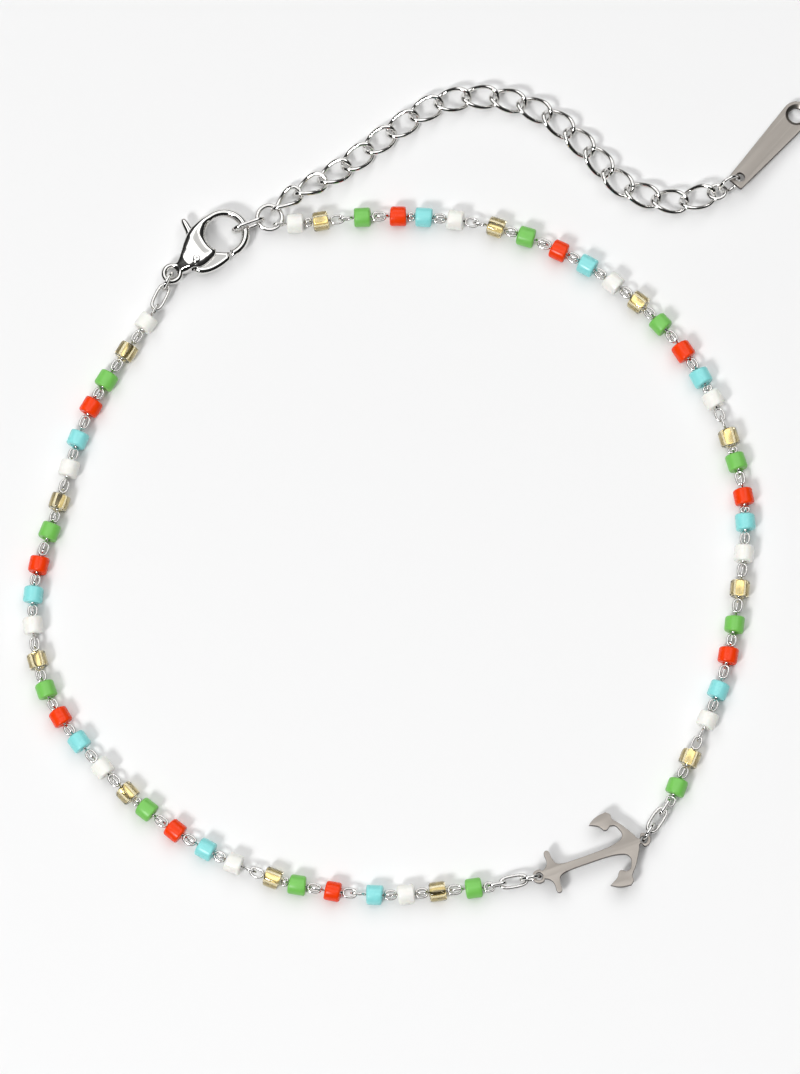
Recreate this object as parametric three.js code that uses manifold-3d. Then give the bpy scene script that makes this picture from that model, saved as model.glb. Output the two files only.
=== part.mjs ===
// A beaded anklet lying flat: glass beads on eye pins, a flat anchor charm, a lobster clasp
// with a sprung lever, and an extension chain that ends in a tapered tag.
// Millimetres, +Z up, floor at z = 0, origin under the middle of the whole anklet.
import * as THREE from "three";
import { mergeVertices } from "three/addons/utils/BufferGeometryUtils.js";
import Module from "manifold-3d";

const wasm = await Module();
wasm.setup();

// The whole anklet as it lies. Routes and places on the floor are in thousandths of these two
// sizes, from the middle.
const LAID_WIDTH = 82;
const LAID_DEPTH = 87.4;

// Beads and their eye pins.
const BEAD_PITCH = 3.5; // mean distance between two beads' middles
const BEAD_DIAMETER = 2.1;
const BEAD_LENGTH = 1.7;
const BEAD_SIDES = 10;
const PIN_WIRE = 0.3;
const EYE_WIDTH = 1.3;
const EYE_BITE = 0.04; // how far an eye's end sits inside the bead's hole
const EYE_PLAY = 0.07;
const LEAST_EYE = 0.75;
const PLAIN_EYE = 1.4;
const LONG_EYE = 1.6;

// Extension chain.
const LINKS = 18;
const LINK_WIRE = 0.5;
const LINK_WIDTH = 2.75;
const LINK_PLAY = 0.2;
const LINK_TWIST = 90; // degrees from one end of a link to the other
const LINK_SQUARENESS = 0.78; // 1 is an ellipse, less is fuller at the ends
const FIRST_LINK_ROLL = -45; // fades to nothing over the turned links
const TURNED_LINKS = 3;
const CHAIN_HEIGHT = 0.8;

// Small joining links and jump rings.
const SMALL_WIRE = 0.4;
const SMALL_LENGTH = 2.1;
const OVAL_LENGTH = 3.1;
const OVAL_WIDTH = 1.55;
const OVAL_SQUARENESS = 0.65;
const RING_DIAMETER = 2.4;
const RING_REACH = 0.95; // from a jump ring's middle to the middle of the hole it hangs in
const RING_PLAY = 0.14;
const SMALL_REACH = 1.6; // from a bead's face to the middle of its first small link
const END_RING_DIAMETER = 3.1;
const END_RING_HEIGHT = 1.18;
const END_RING_ROLL = 6;
const HOOK_LINK_LENGTH = 3.85;
const HOOK_LINK_WIRE = 0.45;
const TAG_RING_DIAMETER = 2.3;
const TAG_RING_WIRE = 0.45;
const TAG_RING_ROLL = -25;
const TAG_LINK_DIAMETER = 2.85;
const TAG_LINK_HEIGHT = 1.35;
const TAG_LINK_ROLL = 75;
const TAG_LINK_TURN = 31;
const TAG_HOLE_SLACK = 0.08;

// Lobster clasp. Its outlines are in hundredths of its length, from the middle of its eye.
const CLASP_LENGTH = 10.8;
const CLASP_THICKNESS = 2.5;
const CLASP_TURN = 39;
const CLASP_EYE_RADIUS = 1.15;
const CLASP_EYE_HOLE = 0.55;
const CLASP_EYE_THICKNESS = 1;
const RIM_THICKNESS = 1.2;
const SLOT_THICKNESS = 1.15;
const SLOT_START = 17.4;
const SLOT_END = 48;
const LEVER_THICKNESS = 0.95;
const LEVER_PLAY = 0.7; // hundredths, from the hook's inside to the lever's edge
const RIVET_RADIUS = 0.4;
const RIVET_PLAY = 0.03;
const PIVOT = [26.9, -5.6];
const PIVOT_ROUND = { middle: PIVOT, radius: 7.9, from: 200, to: 120 };
const HOOK_INSIDE = { middle: [63.4, -0.9], radius: 17.6, from: 208, to: -108 };
const LEVER_INSIDE = { from: 172, to: 212 };
const HOOK_OUTSIDE = { middle: [64.4, -0.9], radius: 25.2, from: -110, to: 85 };
const HOOK_TIP = [55.4, -25.2];
const BODY_LOWER = [
  [6.5, -5.6],
  [12, -7.9],
  [20, -9.7],
  [23, -12.5],
  [28, -14.6],
  [35, -14.8],
  [42, -13.9],
  [46, -12],
];
const BODY_UPPER = [
  [57.4, 25.7],
  [48, 24],
  [36.6, 20.6],
  [27.8, 15.7],
  [16.7, 8.1],
  [12, 6.7],
  [6.5, 5.6],
];
const GATE = [
  [56.5, -18.5],
  [52.8, -24.8],
  [48, -25.5],
  [40.7, -25.2],
  [32.4, -23.7],
  [25.9, -21.1],
  [20.8, -17.1],
  [18.3, -12.5],
];
const THUMB_TAB = [
  [26.9, 11.1],
  [34.7, 22.2],
  [39.8, 36.4],
  [44.4, 35.2],
  [44, 24],
  [42.1, 11.1],
];
// The clasp's side view: along it, and the share of the body's or the rim's thickness there.
const CLASP_SIDE = [
  { at: 0, neck: 1 },
  { at: 11, neck: 1 },
  { at: 17.6, body: 0.85 },
  { at: 24, body: 1 },
  { at: 43.5, body: 1 },
  { at: 52.8, body: 0.82 },
  { at: 63, rim: 1 },
  { at: 100, rim: 1 },
];

// Anchor charm. Its outline is in hundredths of the length between its eyes, from the middle of
// its stock, one side drawn.
const ANCHOR_LENGTH = 11.4;
const ANCHOR_TURN = 19.3;
const ANCHOR_THICKNESS = 0.8;
const ANCHOR_HEIGHT = 1.2;
const ANCHOR_EYE_RADIUS = 0.7;
const ANCHOR_EYE_HOLE = 0.4;
const STOCK_EYE = -13.2;
const CROWN_EYE = STOCK_EYE + 100;
const ANCHOR_NECKS = { reach: 4, stock: 3.7, crown: 2.2 }; // how far from an eye, and half widths
const ANCHOR_SIDE = [
  [-4, 7],
  [-2.5, 11.5],
  [-2.6, 18],
  [-0.4, 20],
  [2.2, 18.4],
  [2.8, 12.3],
  [4.4, 7],
  [7.5, 4.8],
  [14, 3.7],
  [35, 3.5],
  [53.5, 4],
  [63, 5.7],
  [68, 7.9],
  [70, 11.8],
  [69, 16.2],
  [66.7, 20.6],
  [62.3, 22],
  [57, 19.3],
  [52.6, 24.6],
  [44.7, 29],
  [49, 32],
  [54.4, 34],
  [62.3, 35],
  [65.8, 31.6],
  [66, 27.2],
  [72.4, 19.3],
  [79.8, 7],
];

// Tag, measured along its length from its narrow end.
const TAG_TURN = 49;
const TAG_TILT = 4.5;
const TAG_LENGTH = 11.65;
const TAG_NARROW = 1.85;
const TAG_WIDE = 3;
const TAG_THICKNESS = 0.6;
const TAG_ROUND = 87; // degrees to each side that the wide end is round
const TAG_SMALL_HOLE_AT = 0.92;
const TAG_SMALL_HOLE = 0.5;
const TAG_LARGE_HOLE = 0.85;

// Where the clasp's eye and the anchor's stock lie, and the routes between them. A strand starts
// and ends at a set distance and direction from the metal pieces that it hangs on.
const CLASP_AT = [-315, 265];
const ANCHOR_AT = [169, -463];
const END_RING_FROM_HOOK = { reach: 5.17, turn: 20.5 };
const RIGHT_START = { reach: 2.77, turn: -12.5 };
const RIGHT_END = { reach: 6.47, turn: 58.3 };
const LEFT_START = { reach: 5.9, turn: -117 };
const LEFT_END = { reach: 6.83, turn: 189.5 };
const RIGHT_STRAND = [
  [-26, 335],
  [101, 320],
  [215, 273],
  [309, 200],
  [374, 109],
  [413, -14],
  [407, -124],
  [379, -245],
];
const LEFT_STRAND = [
  [-418, 100],
  [-457, -17],
  [-488, -128],
  [-470, -243],
  [-399, -335],
  [-305, -412],
  [-185, -468],
  [-57, -489],
];
const EXTENSION = [
  { x: -168, y: 356, height: 1.44 },
  { x: -95, y: 397, height: 1 },
  { x: -34, y: 440, height: 1 },
  { x: 28, y: 476, height: 1 },
  { x: 97, y: 483, height: 1 },
  { x: 165, y: 461, height: 1 },
  { x: 218, y: 418, height: 1 },
  { x: 266, y: 371, height: 1 },
  { x: 330, y: 351, height: 1.06 },
  { x: 384, y: 362, height: 1.38 },
];

// Distances from bead to bead in turn, as shares of their mean: small, medium, wide and long.
const GAPS = { s: 0.77, m: 0.95, w: 1.08, l: 1.25 };
const RIGHT_GAPS = "slwsmlmwmmmmwmslswsmwwmwmlm";
const LEFT_GAPS = "wwmwmwmwmmwmmmwwswwmlswlmmw";

const COLOURS = {
  beads: { color: 0xf1efe9, roughness: 0.25, metalness: 0 },
  steel: { color: 0xc9c7c3, roughness: 0.2, metalness: 1 },
  plate: { color: 0xa8a39b, roughness: 0.35, metalness: 1 },
};

const rad = THREE.MathUtils.degToRad;
const CLASP_UNIT = CLASP_LENGTH / 100;
const ANCHOR_UNIT = ANCHOR_LENGTH / 100;

// A place on the floor, given in thousandths of the laid width and depth.
function laid([x, y], z) {
  return new THREE.Vector3((x * LAID_WIDTH) / 1000, (y * LAID_DEPTH) / 1000, z);
}

function heading(turn) {
  return new THREE.Vector3(Math.cos(rad(turn)), Math.sin(rad(turn)), 0);
}

function away(from, { reach, turn }, z) {
  return from.clone().addScaledVector(heading(turn), reach).setZ(z);
}

function solidOf(geometry) {
  const bare = geometry.clone();
  bare.deleteAttribute("normal");
  bare.deleteAttribute("uv");
  const merged = mergeVertices(bare, 1e-5);
  return new wasm.Manifold(
    new wasm.Mesh({
      numProp: 3,
      vertProperties: new Float32Array(merged.attributes.position.array),
      triVerts: new Uint32Array(merged.index.array),
    }),
  );
}

function geometryOf(solid) {
  const mesh = solid.getMesh();
  const geometry = new THREE.BufferGeometry();
  geometry.setAttribute("position", new THREE.BufferAttribute(mesh.vertProperties, 3));
  geometry.setIndex(new THREE.BufferAttribute(mesh.triVerts, 1));
  return geometry;
}

// A matrix that lays local X along a direction and rolls local Z round it.
function pose(at, direction, roll) {
  const x = direction.clone().normalize();
  const y = new THREE.Vector3(0, 0, 1).cross(x).normalize();
  const z = x.clone().cross(y);
  return new THREE.Matrix4()
    .makeBasis(x, y, z)
    .multiply(new THREE.Matrix4().makeRotationX(rad(roll)))
    .setPosition(at);
}

function turned(at, turn, tilt = 0) {
  return new THREE.Matrix4()
    .makeRotationZ(rad(turn))
    .multiply(new THREE.Matrix4().makeRotationY(rad(tilt)))
    .setPosition(at);
}

// A closed loop of round wire in the XY plane, its outer length along X, twisted about X.
function wireLoop({ length, width, wire, steps = 10, sides = 5, squareness = 1, twist = 0 }) {
  const a = (length - wire) / 2;
  const b = (width - wire) / 2;
  const bend = (value) => Math.sign(value) * Math.abs(value) ** squareness;
  const middle = [];
  for (let i = 0; i < steps; i++) {
    const t = (2 * Math.PI * i) / steps;
    const s = Math.abs(Math.sin(t)) < 1e-9 ? 0 : Math.sin(t);
    const c = Math.abs(Math.cos(t)) < 1e-9 ? 0 : Math.cos(t);
    middle.push(new THREE.Vector3(a * bend(c), b * bend(s), 0));
  }
  const positions = [];
  middle.forEach((p, i) => {
    const next = middle[(i + 1) % steps];
    const last = middle[(i + steps - 1) % steps];
    const along = next.clone().sub(last).normalize();
    const out = new THREE.Vector3(along.y, -along.x, 0);
    const turn = rad((twist / 2) * (p.x / a));
    for (let j = 0; j < sides; j++) {
      const u = (2 * Math.PI * j) / sides;
      const q = p.clone().addScaledVector(out, (wire / 2) * Math.cos(u));
      q.z += (wire / 2) * Math.sin(u);
      q.applyAxisAngle(new THREE.Vector3(1, 0, 0), turn);
      positions.push(q.x, q.y, q.z);
    }
  });
  const index = [];
  for (let i = 0; i < steps; i++)
    for (let j = 0; j < sides; j++) {
      const a0 = i * sides + j;
      const a1 = i * sides + ((j + 1) % sides);
      const b0 = ((i + 1) % steps) * sides + j;
      const b1 = ((i + 1) % steps) * sides + ((j + 1) % sides);
      index.push(a0, b0, b1, a0, b1, a1);
    }
  const geometry = new THREE.BufferGeometry();
  geometry.setAttribute("position", new THREE.Float32BufferAttribute(positions, 3));
  geometry.setIndex(index);
  return geometry;
}

// One bead, its axis along X, with a flat of its sides down.
function beadGeometry() {
  const r = BEAD_DIAMETER / 2;
  return new THREE.CylinderGeometry(r, r, BEAD_LENGTH, BEAD_SIDES)
    .rotateY(Math.PI / BEAD_SIDES)
    .rotateZ(-Math.PI / 2)
    .rotateX(Math.PI / 2);
}

// Where each bead of a strand sits, which way it points, and where its two faces are. The
// number of beads is even and follows the strand's length. The gaps repeat about its middle.
function beadPlaces(start, route, end, gaps) {
  const height = BEAD_DIAMETER / 2;
  const points = [start, ...route.map((p) => laid(p, height)), end];
  const curve = new THREE.CatmullRomCurve3(points);
  const half = Math.round((curve.getLength() / BEAD_PITCH + 1) / 2);
  const first = (gaps.length + 1) / 2 - half;
  const walked = [0];
  for (let i = 1; i < 2 * half; i++)
    walked.push(walked.at(-1) + GAPS[gaps.at((first + i - 1) % gaps.length)]);
  return walked.map((distance) => {
    const at = curve.getPointAt(distance / walked.at(-1));
    const along = curve.getTangentAt(distance / walked.at(-1));
    return {
      at,
      along,
      back: at.clone().addScaledVector(along, -BEAD_LENGTH / 2),
      front: at.clone().addScaledVector(along, BEAD_LENGTH / 2),
    };
  });
}

// An eye that stands out of a bead's face by the given length.
function eye(face, out, length, roll) {
  const middle = face.clone().addScaledVector(out, (length - EYE_BITE) / 2);
  const loop = wireLoop({
    length: length + EYE_BITE,
    width: EYE_WIDTH,
    wire: PIN_WIRE,
    steps: BEAD_SIDES,
  });
  return loop.applyMatrix4(pose(middle, out, roll));
}

// Between two beads of one solid the pair of hooked eyes is one flat loop that joins them.
function gapLoop(from, to) {
  const across = to.clone().sub(from);
  const loop = wireLoop({
    length: Math.max(across.length() + 2 * EYE_BITE, LEAST_EYE),
    width: EYE_WIDTH,
    wire: PIN_WIRE,
    steps: BEAD_SIDES,
  });
  return loop.applyMatrix4(pose(from.clone().add(to).multiplyScalar(0.5), across, 0));
}

function strandSolid(places, startEye, endEye) {
  const bead = beadGeometry();
  const pieces = places.map((p) => bead.clone().applyMatrix4(pose(p.at, p.along, 0)));
  for (let i = 1; i < places.length; i++)
    pieces.push(gapLoop(places[i - 1].front, places[i].back));
  const first = places[0];
  const last = places.at(-1);
  pieces.push(eye(first.back, first.along.clone().negate(), startEye.length, startEye.roll));
  pieces.push(eye(last.front, last.along, endEye.length, endEye.roll));
  return wasm.Manifold.union(pieces.map(solidOf));
}

// A strand's two halves, whose eyes hook through each other in the middle.
function strandHalves(places, startEye, endEye) {
  const half = places.length / 2;
  const gap = places[half].back.distanceTo(places[half - 1].front);
  const length = gap / 2 + PIN_WIRE + EYE_PLAY;
  return [
    strandSolid(places.slice(0, half), startEye, { length, roll: 0 }),
    strandSolid(places.slice(half), { length, roll: 90 }, endEye),
  ];
}

function arcPoints({ middle, radius, from, to }, steps) {
  const points = [];
  for (let i = 0; i <= steps; i++) {
    const t = rad(from + ((to - from) * i) / steps);
    points.push([middle[0] + radius * Math.cos(t), middle[1] + radius * Math.sin(t)]);
  }
  return points;
}

function plate(points, thickness, unit = 1) {
  const shape = new THREE.Shape(points.map(([x, y]) => new THREE.Vector2(x * unit, y * unit)));
  const geometry = new THREE.ExtrudeGeometry(shape, { depth: thickness, bevelEnabled: false });
  return geometry.translate(0, 0, -thickness / 2);
}

function pin(radius, length, sides, [x, y], unit = 1) {
  return new THREE.CylinderGeometry(radius, radius, length, sides)
    .rotateX(Math.PI / 2)
    .translate(x * unit, y * unit, 0);
}

// The clasp's side view, as thick as its table says.
function claspSide() {
  const thickness = (row) =>
    (row.neck ?? 0) * CLASP_EYE_THICKNESS +
    (row.body ?? 0) * CLASP_THICKNESS +
    (row.rim ?? 0) * RIM_THICKNESS;
  const top = CLASP_SIDE.map((row) => [row.at * CLASP_UNIT, thickness(row) / 2]);
  const bottom = top.map(([x, z]) => [x, -z]).reverse();
  return plate([...top, ...bottom], CLASP_LENGTH).rotateX(Math.PI / 2);
}

// Neck, cheeks and hook, open where the gate closes it, and slotted for the lever.
function claspBody() {
  const outline = [
    ...BODY_LOWER,
    ...arcPoints(HOOK_INSIDE, 22),
    HOOK_TIP,
    ...arcPoints(HOOK_OUTSIDE, 15),
    ...BODY_UPPER,
  ];
  const tall = 2 * CLASP_THICKNESS;
  const slotLength = (SLOT_END - SLOT_START) * CLASP_UNIT;
  const slotMiddle = ((SLOT_END + SLOT_START) / 2) * CLASP_UNIT;
  const slot = new THREE.BoxGeometry(slotLength, CLASP_LENGTH, SLOT_THICKNESS);
  return solidOf(plate(outline, tall, CLASP_UNIT))
    .intersect(solidOf(claspSide()))
    .add(solidOf(pin(CLASP_EYE_RADIUS, CLASP_EYE_THICKNESS, 16, [0, 0])))
    .subtract(solidOf(pin(CLASP_EYE_HOLE, tall, 12, [0, 0])))
    .subtract(solidOf(slot.translate(slotMiddle, 0, 0)))
    .subtract(solidOf(pin(RIVET_RADIUS + RIVET_PLAY, tall, 12, PIVOT, CLASP_UNIT)));
}

// The lever: gate, round of the pivot and thumb tab, in one flat piece.
function claspLever() {
  const inside = {
    middle: HOOK_INSIDE.middle,
    radius: HOOK_INSIDE.radius + LEVER_PLAY,
    from: LEVER_INSIDE.from,
    to: LEVER_INSIDE.to,
  };
  const outline = [...GATE, ...arcPoints(PIVOT_ROUND, 4), ...THUMB_TAB, ...arcPoints(inside, 4)];
  const bore = pin(RIVET_RADIUS + 2 * RIVET_PLAY, CLASP_THICKNESS, 12, PIVOT, CLASP_UNIT);
  return solidOf(plate(outline, LEVER_THICKNESS, CLASP_UNIT)).subtract(solidOf(bore));
}

// The anchor: stock, shank, arms and flukes from one side and its mirror image, with both eyes.
function anchorSolid() {
  const side = [
    [STOCK_EYE + ANCHOR_NECKS.reach, ANCHOR_NECKS.stock],
    ...ANCHOR_SIDE,
    [CROWN_EYE - ANCHOR_NECKS.reach, ANCHOR_NECKS.crown],
  ];
  const mirrored = side.map(([x, y]) => [x, -y]).reverse();
  const eyes = [STOCK_EYE, CROWN_EYE].map((x) => [x, 0]);
  const tall = 2 * ANCHOR_THICKNESS;
  let solid = solidOf(plate([...side, ...mirrored], ANCHOR_THICKNESS, ANCHOR_UNIT));
  for (const at of eyes)
    solid = solid.add(solidOf(pin(ANCHOR_EYE_RADIUS, ANCHOR_THICKNESS, 14, at, ANCHOR_UNIT)));
  for (const at of eyes)
    solid = solid.subtract(solidOf(pin(ANCHOR_EYE_HOLE, tall, 12, at, ANCHOR_UNIT)));
  return solid;
}

function tagSolid() {
  const radius = TAG_WIDE / 2;
  const round = { middle: [TAG_LENGTH - radius, 0], radius, from: -TAG_ROUND, to: TAG_ROUND };
  const tall = 2 * TAG_THICKNESS;
  const outline = [[0, -TAG_NARROW / 2], ...arcPoints(round, 14), [0, TAG_NARROW / 2]];
  return solidOf(plate(outline, TAG_THICKNESS))
    .subtract(solidOf(pin(TAG_SMALL_HOLE, tall, 12, [TAG_SMALL_HOLE_AT, 0])))
    .subtract(solidOf(pin(TAG_LARGE_HOLE, tall, 16, round.middle)));
}

const group = new THREE.Group();
group.name = "beaded_anklet";

function add(name, colour, geometry, matrix) {
  const mesh = new THREE.Mesh(geometry, new THREE.MeshStandardMaterial(COLOURS[colour]));
  mesh.name = name;
  if (matrix) geometry.applyMatrix4(matrix);
  group.add(mesh);
}

function addLoop(name, loop, at, direction, roll) {
  add(name, "steel", wireLoop(loop), pose(at, direction, roll));
}

const OVAL = { width: OVAL_WIDTH, wire: SMALL_WIRE, squareness: OVAL_SQUARENESS };
const SMALL_LOOP = { length: SMALL_LENGTH, ...OVAL };
const OVAL_LOOP = { length: OVAL_LENGTH, ...OVAL };
const RING_LOOP = { length: RING_DIAMETER, width: RING_DIAMETER, wire: SMALL_WIRE };

// Steel loops between a bead's face and the hole of a flat piece: upright small link, flat
// oval link and upright jump ring.
function addLeadIn(prefix, face, hole) {
  const along = hole.clone().sub(face);
  const length = along.length();
  along.normalize();
  const small = face.clone().addScaledVector(along, SMALL_REACH);
  const ring = face.clone().addScaledVector(along, length - RING_REACH);
  addLoop(prefix + "_small_link", SMALL_LOOP, small, along, 90);
  addLoop(prefix + "_oval_link", OVAL_LOOP, small.clone().lerp(ring, 0.5), along, 0);
  addLoop(prefix + "_jump_ring", RING_LOOP, ring, along, 90);
}

// Clasp.
const claspPlace = turned(laid(CLASP_AT, CLASP_THICKNESS / 2), CLASP_TURN);
const onClasp = ([x, y]) =>
  new THREE.Vector3(x * CLASP_UNIT, y * CLASP_UNIT, 0).applyMatrix4(claspPlace);
const rivet = pin(RIVET_RADIUS, CLASP_THICKNESS, 12, PIVOT, CLASP_UNIT);
add("clasp_body", "steel", geometryOf(claspBody()), claspPlace);
add("clasp_lever", "steel", geometryOf(claspLever()), claspPlace);
add("clasp_rivet", "steel", rivet, claspPlace);

// Anchor.
const anchorPlace = turned(laid(ANCHOR_AT, ANCHOR_HEIGHT), ANCHOR_TURN);
const onAnchor = (x) => new THREE.Vector3(x * ANCHOR_UNIT, 0, 0).applyMatrix4(anchorPlace);
add("anchor", "plate", geometryOf(anchorSolid()), anchorPlace);

// Strands, from the end ring and the clasp's eye to the anchor's two eyes.
const beadHeight = BEAD_DIAMETER / 2;
const claspEye = onClasp([0, 0]);
const claspHole = onClasp(HOOK_INSIDE.middle);
const stockEye = onAnchor(STOCK_EYE);
const crownEye = onAnchor(CROWN_EYE);
const endRing = away(claspHole, END_RING_FROM_HOOK, END_RING_HEIGHT);
const right = beadPlaces(
  away(endRing, RIGHT_START, beadHeight),
  RIGHT_STRAND,
  away(crownEye, RIGHT_END, beadHeight),
  RIGHT_GAPS,
);
const left = beadPlaces(
  away(claspEye, LEFT_START, beadHeight),
  LEFT_STRAND,
  away(stockEye, LEFT_END, beadHeight),
  LEFT_GAPS,
);
const plain = { length: PLAIN_EYE, roll: 0 };
const halves = [
  ...strandHalves(right, { length: LONG_EYE, roll: 90 }, plain),
  ...strandHalves(left, { length: LONG_EYE, roll: 90 }, plain),
];
["right_strand_upper", "right_strand_lower", "left_strand_upper", "left_strand_lower"].forEach(
  (name, i) => add(name, "beads", geometryOf(halves[i])),
);

// Steel loops at the anchor's two ends and at the clasp.
addLeadIn("stock", left.at(-1).front, stockEye);
addLeadIn("crown", right.at(-1).front, crownEye);

const claspLine = claspEye.clone().sub(left[0].back);
const claspGap = claspLine.length();
claspLine.normalize();
const claspRing = claspGap - RING_REACH;
const claspOval = claspRing - RING_DIAMETER / 2 + 2 * SMALL_WIRE + RING_PLAY - OVAL_LENGTH / 2;
addLoop(
  "clasp_oval_link",
  OVAL_LOOP,
  left[0].back.clone().addScaledVector(claspLine, claspOval),
  claspLine,
  0,
);
addLoop(
  "clasp_jump_ring",
  RING_LOOP,
  left[0].back.clone().addScaledVector(claspLine, claspRing),
  claspLine,
  90,
);

// Extension chain: every link has the same twist, so each hooks through the next. It hangs
// between the end ring and the tag's ring, whose middles are the ends of its route.
const route = EXTENSION.map(({ x, y, height }) => laid([x, y], height * CHAIN_HEIGHT));
const chain = new THREE.CatmullRomCurve3([endRing, ...route]);
const endRingReach = (END_RING_DIAMETER - LINK_WIRE) / 2 - LINK_WIRE - RING_PLAY;
const tagRingReach = (TAG_RING_DIAMETER - TAG_RING_WIRE) / 2 - LINK_WIRE - RING_PLAY;
const chainLength = chain.getLength();
const hung = chainLength - endRingReach - tagRingReach;
const pitch = (hung - LINK_WIRE - LINK_PLAY) / LINKS;
const linkReach = (pitch + LINK_WIRE + LINK_PLAY) / 2;
const linkLoop = {
  length: 2 * linkReach + LINK_WIRE,
  width: LINK_WIDTH,
  wire: LINK_WIRE,
  squareness: LINK_SQUARENESS,
  twist: LINK_TWIST,
};
for (let i = 0; i < LINKS; i++) {
  const t = (endRingReach + linkReach + i * pitch) / chainLength;
  const roll = FIRST_LINK_ROLL * Math.max(0, 1 - i / TURNED_LINKS);
  const name = "extension_link_" + String(i + 1).padStart(2, "0");
  addLoop(name, linkLoop, chain.getPointAt(t), chain.getTangentAt(t), roll);
}

// End ring, and the upright link that the clasp's hook holds.
addLoop(
  "end_ring",
  { length: END_RING_DIAMETER, width: END_RING_DIAMETER, wire: LINK_WIRE },
  endRing,
  chain.getTangentAt(0),
  END_RING_ROLL,
);
const hookStart = endRing.clone().setZ(claspHole.z);
const toClasp = claspHole.clone().sub(hookStart).normalize();
addLoop(
  "hook_link",
  {
    length: HOOK_LINK_LENGTH,
    width: CLASP_THICKNESS,
    wire: HOOK_LINK_WIRE,
    squareness: LINK_SQUARENESS,
  },
  hookStart.addScaledVector(toClasp, endRingReach + (HOOK_LINK_LENGTH - HOOK_LINK_WIRE) / 2),
  toClasp,
  90,
);

// Tag with its two rings.
const tagRing = chain.getPointAt(1);
addLoop(
  "tag_ring",
  { length: TAG_RING_DIAMETER, width: TAG_RING_DIAMETER, wire: TAG_RING_WIRE },
  tagRing,
  chain.getTangentAt(1),
  TAG_RING_ROLL,
);
const toTag = heading(TAG_LINK_TURN);
const tagLinkRadius = (TAG_LINK_DIAMETER - SMALL_WIRE) / 2;
addLoop(
  "tag_link",
  { length: TAG_LINK_DIAMETER, width: TAG_LINK_DIAMETER, wire: SMALL_WIRE },
  tagRing.clone().addScaledVector(toTag, tagRingReach + tagLinkRadius).setZ(TAG_LINK_HEIGHT),
  toTag,
  TAG_LINK_ROLL,
);
const tagHole = tagRing
  .clone()
  .addScaledVector(toTag, tagRingReach + 2 * tagLinkRadius + TAG_HOLE_SLACK)
  .setZ(TAG_LINK_HEIGHT);
const tagPlace = turned(tagHole, TAG_TURN, TAG_TILT).multiply(
  new THREE.Matrix4().makeTranslation(-TAG_SMALL_HOLE_AT, 0, 0),
);
add("tag", "plate", geometryOf(tagSolid()), tagPlace);

// Rest the lowest point on the floor and centre the whole on the origin.
const box = new THREE.Box3().setFromObject(group, true);
const middle = box.getCenter(new THREE.Vector3());
for (const mesh of group.children) mesh.geometry.translate(-middle.x, -middle.y, -box.min.z);

export default group;
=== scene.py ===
import math
import random

import bmesh
import bpy
import numpy as np
from mathutils import Matrix, Vector


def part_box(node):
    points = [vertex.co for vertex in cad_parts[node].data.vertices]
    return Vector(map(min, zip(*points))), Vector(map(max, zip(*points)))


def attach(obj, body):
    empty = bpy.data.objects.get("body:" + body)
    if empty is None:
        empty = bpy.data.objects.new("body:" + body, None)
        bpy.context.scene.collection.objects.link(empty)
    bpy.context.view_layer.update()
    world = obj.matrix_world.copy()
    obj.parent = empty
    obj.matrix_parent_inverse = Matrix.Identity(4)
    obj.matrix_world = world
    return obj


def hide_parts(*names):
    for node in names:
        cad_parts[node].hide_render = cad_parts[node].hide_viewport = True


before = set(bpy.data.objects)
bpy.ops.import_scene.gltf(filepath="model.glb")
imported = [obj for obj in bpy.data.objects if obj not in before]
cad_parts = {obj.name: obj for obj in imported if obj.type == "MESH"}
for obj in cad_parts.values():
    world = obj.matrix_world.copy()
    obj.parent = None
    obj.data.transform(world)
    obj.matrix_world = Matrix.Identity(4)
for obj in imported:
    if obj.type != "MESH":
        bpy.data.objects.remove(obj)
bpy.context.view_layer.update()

MM = 0.001
UP = Vector((0, 0, 1))
BODY = "anklet"
rng = random.Random(7)

# Sizes in millimetres and turns in degrees, the same as the solids have. Routes and places on the
# floor are in thousandths of the laid width and depth.
LAID_WIDTH = 82
LAID_DEPTH = 87.4
BEAD_PITCH = 3.5
BEAD_DIAMETER = 2.1
BEAD_LENGTH = 1.7
PLAIN_EYE = 1.4
LONG_EYE = 1.6
LINKS = 18
LINK_WIRE = 0.5
LINK_WIDTH = 2.75
LINK_PLAY = 0.2
LINK_TWIST = 90
LINK_SQUARENESS = 0.78
FIRST_LINK_ROLL = -45
TURNED_LINKS = 3
CHAIN_HEIGHT = 0.8
SMALL_WIRE = 0.4
SMALL_LENGTH = 2.1
OVAL_LENGTH = 3.1
OVAL_WIDTH = 1.55
OVAL_SQUARENESS = 0.65
RING_DIAMETER = 2.4
RING_REACH = 0.95
RING_PLAY = 0.14
SMALL_REACH = 1.6
END_RING_DIAMETER = 3.1
END_RING_HEIGHT = 1.18
END_RING_ROLL = 6
HOOK_LINK_LENGTH = 3.85
HOOK_LINK_WIRE = 0.45
TAG_RING_DIAMETER = 2.3
TAG_RING_WIRE = 0.45
TAG_RING_ROLL = -25
TAG_LINK_DIAMETER = 2.85
TAG_LINK_HEIGHT = 1.35
TAG_LINK_ROLL = 75
TAG_LINK_TURN = 31
TAG_HOLE_SLACK = 0.08

# Sizes of what only this script shows.
BEAD_HOLE = 0.45
BEAD_EDGE = 0.24
BEAD_LIP = 0.08
BEAD_LIP_MIDDLE = (0.02, 0.03)
BEAD_SIDES = 40
BEAD_LEAN = 5
BEAD_SLANT = 0.06
BEAD_LENGTH_SPREAD = 0.04
BEAD_DIAMETER_SPREAD = 0.01
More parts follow.
